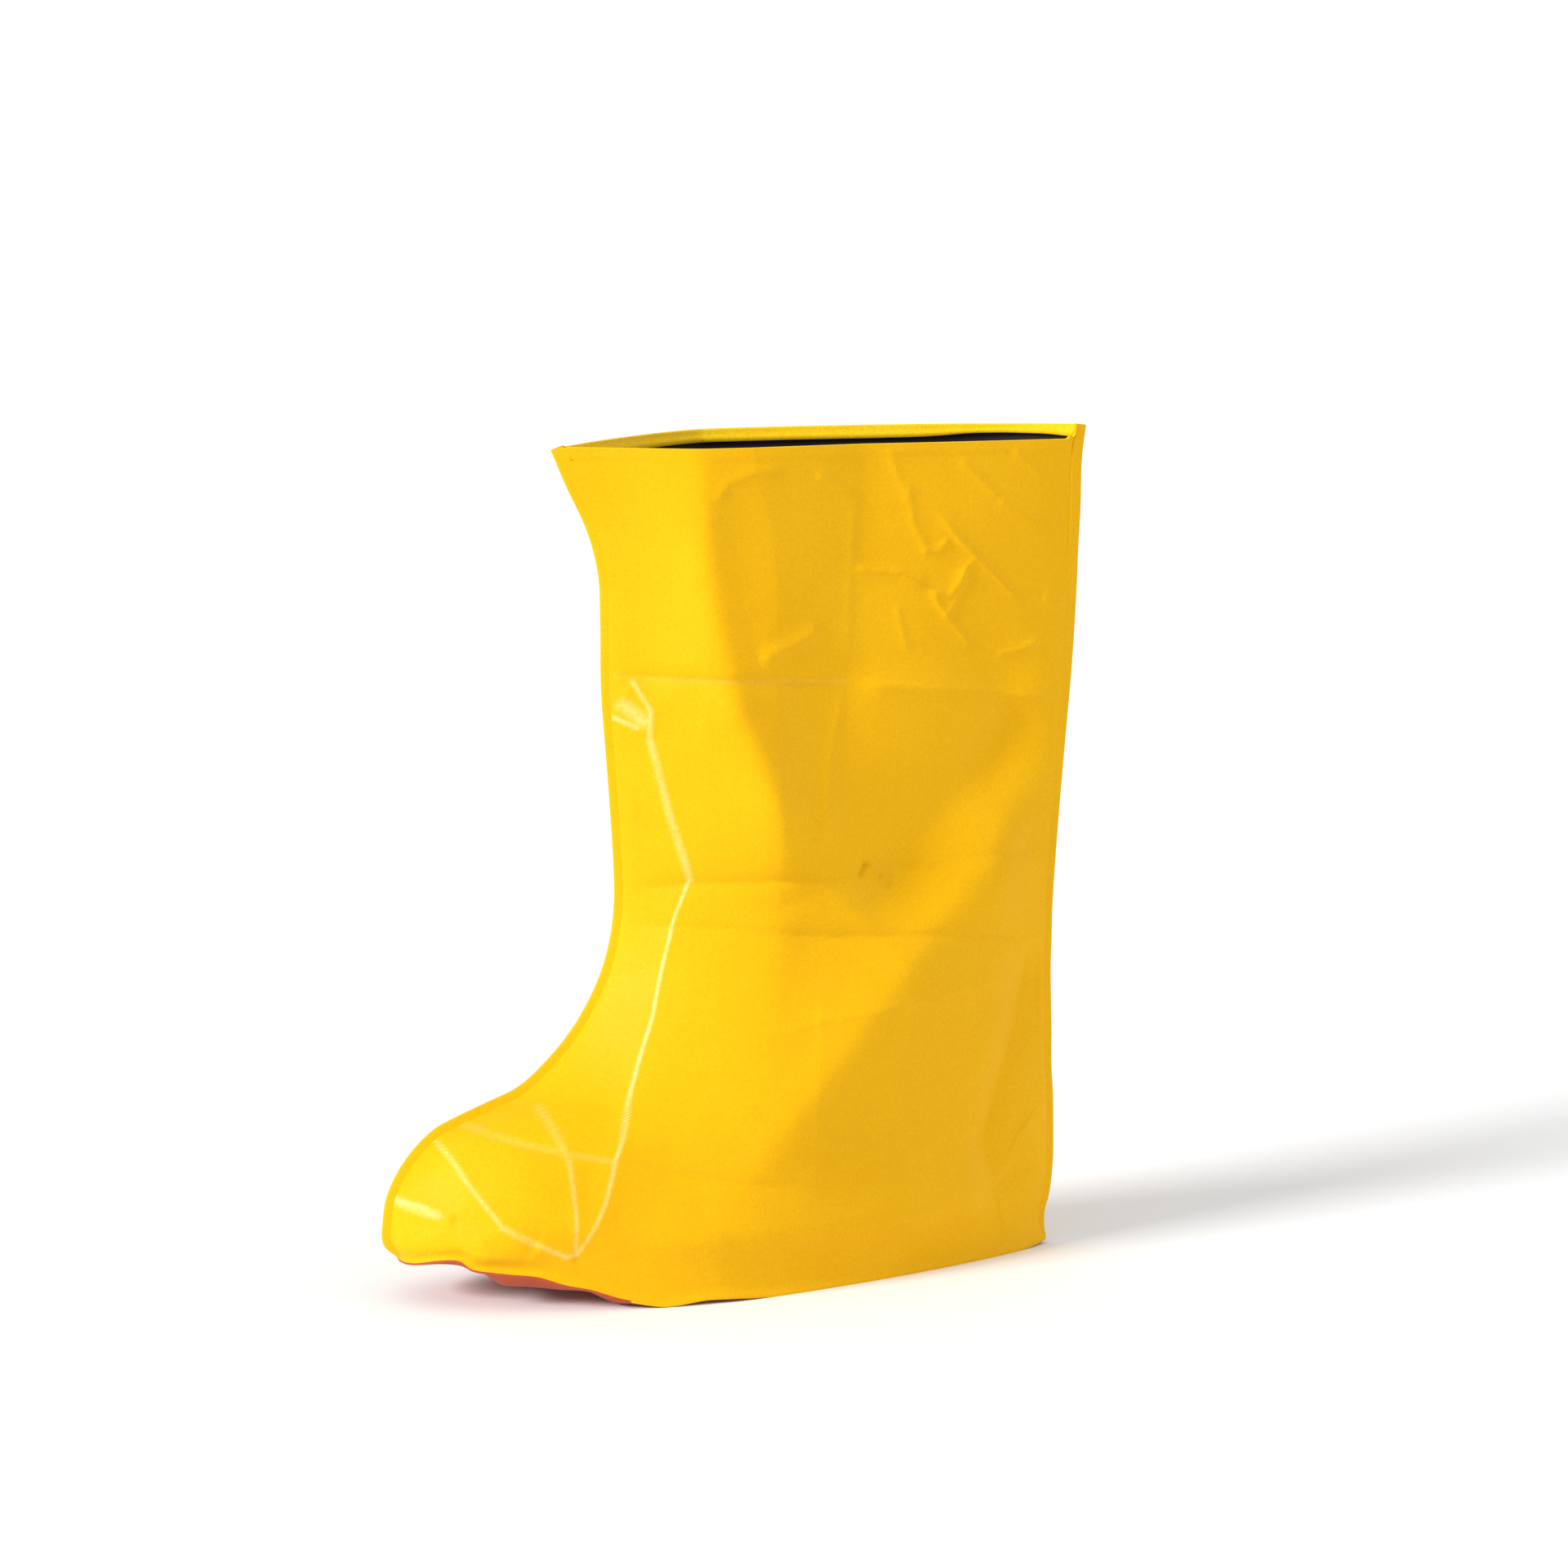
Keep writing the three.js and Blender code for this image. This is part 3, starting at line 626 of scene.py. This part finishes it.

# Inner face of the panels
# The sheet's other side, seen only as a dark gap below the hem. It follows the outer face a few
# millimetres further in, with its troughs but not its ridges, and narrows to a slit at the welds.
# The hem covers its top edge.

# A matt near-black face, its tone varying a little at random, with a fine bump. The back of the
# sheet, taken to be a matt black coat with the fine print of a knit. It gives the eye no more
# than depth inside the collar.
inside_black = new_material("inner_face_near_black")
place = node(inside_black, "ShaderNodeTexCoord")
fine_noise = node(inside_black, "ShaderNodeTexNoise", {"Scale": 700.0, "Detail": 2.0},
            {"Vector": place.outputs["Object"]})
fine_bump = node(inside_black, "ShaderNodeBump", {"Strength": 0.4, "Distance": 0.0002},
             {"Height": fine_noise.outputs["Fac"]})
dark = node(inside_black, "ShaderNodeValToRGB", links={"Fac": fine_noise.outputs["Fac"]})
dark.color_ramp.elements[0].color = linear("#0b0807")
dark.color_ramp.elements[1].color = linear("#1e1713")
shade = node(inside_black, "ShaderNodeBsdfPrincipled", {"Roughness": 0.8, "IOR": 1.5},
             {"Base Color": dark.outputs["Color"], "Normal": fine_bump.outputs["Normal"]})
node(inside_black, "ShaderNodeOutputMaterial", links={"Surface": shade.outputs["BSDF"]})


def ring_turns(columns):
    """Turns and sides of points once round the cover, front weld to front weld."""
    half = columns // 2
    share = np.arange(columns) / half
    side = np.where(share <= 1, 1, -1)
    return np.where(share <= 1, share, 2 - share), side


def ring_points(columns, heights, creased=True):
    """Points of the outer face once round the cover at each height."""
    turn, side = ring_turns(columns)
    turns, levels = np.meshgrid(turn, heights)
    left, right = skin(1, turns, levels, creased), skin(-1, turns, levels, creased)
    return np.where((side > 0)[None, :, None], left, right)


inner_columns = 240
inner_rows = 150
inner_top = 0.0045
# It lies the sheet's thickness in at its top edge, and inner_depth more from inner_fade below
# that, but never more than inner_share of the way to the other side. Its two ends are drawn in
# from the welds by inner_slit, as a share of the cover's half length.
inner_depth = 0.0035
inner_fade = 0.02
inner_share = 1 / 3
inner_slit = 0.015
inner_heights = np.linspace(0.0, boot_height - inner_top, inner_rows)
inner_points = ring_points(inner_columns, inner_heights, False)
below_hem = (boot_height - inner_top - inner_heights) / inner_fade
inner_offset = (sheet + inner_depth * smooth(below_hem))[:, None]
across = np.roll(inner_points[:, ::-1, 1], 1, axis=1) - inner_points[..., 1]
inner_points[..., 1] += np.clip(across * inner_share, -inner_offset, inner_offset)
middle = (inner_points[:, :1, 0] + inner_points[:, inner_columns // 2, None, 0]) / 2
inner_points[..., 0] += (middle - inner_points[..., 0]) * inner_slit
inner_face = mesh_piece("inner_face", inner_points,
                        grid_faces(inner_rows, inner_columns, flip=True, closed=True), inside_black)
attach(inner_face, "root")
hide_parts("upper")

# Collar hem
# The panels' top edge is turned in over the rim and welded down as a band 7 mm deep, so the
# yellow outer side of the sheet shows inside the collar.


def inward(points):
    """Unit normals into the cover at a grid of points that is closed round its columns."""
    onward = np.roll(points, -1, axis=1) - np.roll(points, 1, axis=1)
    upward = np.gradient(points, axis=0)
    normal = np.cross(upward, onward)
    return normal / np.maximum(np.linalg.norm(normal, axis=-1, keepdims=True), 1e-9)


hem_columns = 600
# How deep the turned-in edge reaches on the far side. back: share of the way to the back weld.
far_depths = [
    dict(back=0, depth=1), dict(back=0.6, depth=1), dict(back=0.7, depth=0.92),
    dict(back=0.78, depth=0.68), dict(back=0.9, depth=0.7), dict(back=0.96, depth=0.85),
    dict(back=1, depth=1),
]
hem_turn, hem_side = ring_turns(hem_columns)
reach_in = np.where(hem_side < 0, read(far_depths, "back", "depth", hem_turn), 1.0) * hem_depth
hem_heights = boot_height - np.outer([1.0, 0.6, 0.3, 0.0], reach_in)
hem_turns = hem_turn[None].repeat(len(hem_heights), axis=0)
rim = np.where((hem_side > 0)[None, :, None],
               skin(1, hem_turns, hem_heights), skin(-1, hem_turns, hem_heights))
rim_in = inward(rim)
rim_in[..., 2] = 0.0
rim_in /= np.maximum(np.linalg.norm(rim_in, axis=-1, keepdims=True), 1e-9)
# The turn is a half round of this radius, set a little below the rim. Below it the band leans
# away from the panel, a row at a time, and its cut edge closes back on the sheet.
roll = 0.0011
roll_set = 0.0009
band_leans = ((2, 0.0), (1, 0.0009), (0, 0.0022))
hem_rows = []
for angle in np.linspace(0, math.pi, 7):
    offset = roll * (1 - math.cos(angle))
    lift = roll * math.sin(angle) - roll_set
    hem_rows.append(rim[3] + rim_in[3] * offset + np.array([0, 0, lift]))
for row, lean in band_leans:
    hem_rows.append(rim[row] + rim_in[row] * (roll * 2 + lean))
hem_rows.append(rim[0] + rim_in[0] * sheet)
hem_points = np.stack(hem_rows)
# The band has its own brighter copy of the vinyl: painted light, a lighter yellow standing for the
# light the band catches inside the collar
hem_lit_vinyl = vinyl.copy()
hem_lit_vinyl.name = "calendered_vinyl_yellow_painted_light"
hem_lit_tint = next(n for n in hem_lit_vinyl.node_tree.nodes if n.type == "VALTORGB")
hem_lit_tint.color_ramp.elements[0].color = linear("#ffd01c")
hem_lit_tint.color_ramp.elements[1].color = linear("#ffd824")
hem = mesh_piece("collar_hem_band", hem_points,
                 grid_faces(len(hem_rows), hem_columns, closed=True), hem_lit_vinyl)
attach(hem, "root")
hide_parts("collar_hem")

# Weld fins
# Down the front and the back the edges of the two panels lie together as a flat fin 4 mm wide,
# fused by the welding bar, with a slightly rounded trimmed edge. The fins lean over a little.
weld_width = 0.004
# At its foot a fin is narrower, a share of its width, over the first few millimetres
fin_foot_share = 0.3
fin_foot = 0.014
fin_rows = 260
# Its section: how far out, as a share of its width, and half its thickness there. It starts
# inside the cover, between the panels, and thins towards the trimmed edge.
fin_section = [(-0.7, 0.0013), (-0.35, 0.00112), (0.0, 0.00095), (0.35, 0.00078), (0.7, 0.0006),
               (0.94, 0.00045), (1.0, 0.0002)]


def fin(name, replaced, turn, way, lean):
    """A weld fin. turn: 0 front weld, 1 back weld. way: 1 towards the toe, -1 to the heel.
    lean: how far its trimmed edge stands to the left, as a share of its width."""
    heights = np.linspace(0, boot_height, fin_rows)
    line = skin(-1, np.full_like(heights, turn), heights)
    line[:, 1] = centre_y
    rise = np.gradient(line, axis=0)
    outward = np.stack([rise[:, 2], np.zeros(len(line)), -rise[:, 0]], axis=-1) * way
    outward /= np.linalg.norm(outward, axis=-1, keepdims=True)
    wide = weld_gap + weld_width * mix(fin_foot_share, 1, smooth(heights / fin_foot))
    rows = []
    for share, half in fin_section:
        bent = np.zeros((len(line), 3))
        bent[:, 1] = lean * (share - fin_section[0][0]) * wide
        ahead = outward * (wide * share * math.cos(math.atan(lean)))[:, None]
        rows.append((line + ahead + bent, half))
    loop = [points + np.array([0, half, 0]) for points, half in rows]
    loop += [points - np.array([0, half, 0]) for points, half in reversed(rows)]
    points = np.stack(loop, axis=1)
    piece = mesh_piece(name, points, grid_faces(len(heights), len(loop), way < 0, True), vinyl)
    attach(piece, "root")
    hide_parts(replaced)


fin("front_weld_fin", "front_weld", 0.0, 1, -0.4)
fin("back_weld_fin", "back_weld", 1.0, -1, -0.15)

# Sole
# A heavier sheet of the same vinyl, 1.2 mm, cut to the foot's outline with a pointed heel and
# welded to the panels' lower edge. It lies flat from heel to ball and lifts at the empty toe.

# Its middle line stops short of heel and toe. From there its section is level for a share of the
# way out and then curls up to the edge, with a power that keeps the curl close to the edge.
spine_inset = foot_length * 0.1
flat_share = 0.35
edge_curl = 5
# Ahead of this the rim under the lifted toe has the painted orange shade too
toe_start = foot_length * 0.7
# The sheet's underside: painted shade, a deep orange-amber standing for the yellow vinyl in shade
# with the floor's bounce, duller than the panels and with a coarser grain for its grip. Under the
# lifted toe it shows as an orange strip.
sole_underside_painted_shade = new_material("calendered_vinyl_painted_shade")
place = node(sole_underside_painted_shade, "ShaderNodeTexCoord")
cloud = node(sole_underside_painted_shade, "ShaderNodeTexNoise", {"Scale": 20.0, "Detail": 4.0},
             {"Vector": place.outputs["Object"]})
tint = node(sole_underside_painted_shade, "ShaderNodeValToRGB", links={"Fac": cloud.outputs["Fac"]})
tint.color_ramp.elements[0].color = linear("#a53a0f")
tint.color_ramp.elements[1].color = linear("#b04512")
grain = node(sole_underside_painted_shade, "ShaderNodeTexNoise", {"Scale": 450.0, "Detail": 3.0},
             {"Vector": place.outputs["Object"]})
dent = node(sole_underside_painted_shade, "ShaderNodeBump", {"Strength": 0.6, "Distance": 0.0004},
            {"Height": grain.outputs["Fac"]})
shade = node(sole_underside_painted_shade, "ShaderNodeBsdfPrincipled", {"Roughness": 0.55, "IOR": 1.53},
             {"Base Color": tint.outputs["Color"], "Normal": dent.outputs["Normal"]})
node(sole_underside_painted_shade, "ShaderNodeOutputMaterial", links={"Surface": shade.outputs["BSDF"]})

sole_columns = 480
lower_edge = ring_points(sole_columns, np.array([0.0]))[0] - (heel_x, centre_y, 0.0)
around = np.roll(lower_edge, -1, axis=0) - np.roll(lower_edge, 1, axis=0)
outward = np.stack([around[:, 1], -around[:, 0], np.zeros(sole_columns)], axis=-1)
outward /= np.linalg.norm(outward, axis=-1, keepdims=True)
outline = lower_edge + outward * sole_margin


def sole_face(share, up):
    """A ring of the sole's points, at a share of the way from the middle line to the edge."""
    spine = np.clip(outline[:, 0], spine_inset, foot_length - spine_inset)
    x = mix(spine, outline[:, 0], share)
    edge = lower_edge[:, 2] - sole_thickness - weld_gap
    rise = np.clip((share - flat_share) / (1 - flat_share), 0.0, 1.0) ** edge_curl
    z = mix(sole_rise(x, "middle"), edge, rise) + up
    return np.stack([x + heel_x, outline[:, 1] * share + centre_y, z], axis=-1)


ring_shares = np.concatenate([np.linspace(0.0, 0.94, 24), [0.97, 0.99, 1.0]])
under = [sole_face(share, 0.0) for share in ring_shares]
over = [sole_face(share, sole_thickness) for share in ring_shares[::-1]]
sole_points = np.stack(under + over)
sole = mesh_piece("sole_sheet", sole_points,
                  grid_faces(len(sole_points), sole_columns, closed=True), sole_underside_painted_shade)
# The sheet's underside has the painted orange shade; its trimmed rim and its top are yellow, but
# for the rim under the lifted toe.
sole.data.materials.append(vinyl)
face_row, face_column = np.divmod(np.arange((len(sole_points) - 1) * sole_columns), sole_columns)
behind_toe = outline[face_column, 0] < toe_start
rim_row = len(under) - 1
yellow = (face_row > rim_row) | ((face_row == rim_row) & behind_toe)
sole.data.polygons.foreach_set("material_index", yellow.astype(np.int32))
trimmed_corner = math.radians(40)
sole.data.set_sharp_from_angle(angle=trimmed_corner)
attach(sole, "root")
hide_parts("sole")

# Floor and light
# A plain pale table top, a broad soft light from the toe side and above, a weak one from the heel
# side, and pale surroundings.
pale = bpy.data.materials.new("pale_table_top")
pale.use_nodes = True
pale_shader = pale.node_tree.nodes["Principled BSDF"]
pale_shader.inputs["Base Color"].default_value = (0.9, 0.9, 0.9, 1.0)
pale_shader.inputs["Roughness"].default_value = 0.9
floor_mesh = bpy.data.meshes.new("floor")
reach = 60.0
floor_mesh.from_pydata([(-reach, -reach, 0), (reach, -reach, 0), (reach, reach, 0),
                        (-reach, reach, 0)], [], [(0, 1, 2, 3)])
floor_mesh.materials.append(pale)
floor = bpy.data.objects.new("floor", floor_mesh)
bpy.context.scene.collection.objects.link(floor)


def sun(name, strength, width, azimuth, elevation):
    """A distant soft light. width: how wide it looks. All angles are in degrees."""
    data = bpy.data.lights.new(name, "SUN")
    data.energy = strength
    data.angle = math.radians(width)
    light = bpy.data.objects.new(name, data)
    toward = direction(math.radians(azimuth), math.radians(elevation))
    light.rotation_euler = toward.to_track_quat("Z", "Y").to_euler()
    bpy.context.scene.collection.objects.link(light)


sun("key_light", 3.5, 18, 104, 26)
sun("fill_light", 0.7, 60, 250, 20)

surroundings = bpy.data.worlds.new("pale_surroundings")
surroundings.use_nodes = True
pale_sky = surroundings.node_tree.nodes["Background"]
pale_sky.inputs["Color"].default_value = (1.0, 1.0, 1.0, 1.0)
pale_sky.inputs["Strength"].default_value = 0.68
bpy.context.scene.world = surroundings
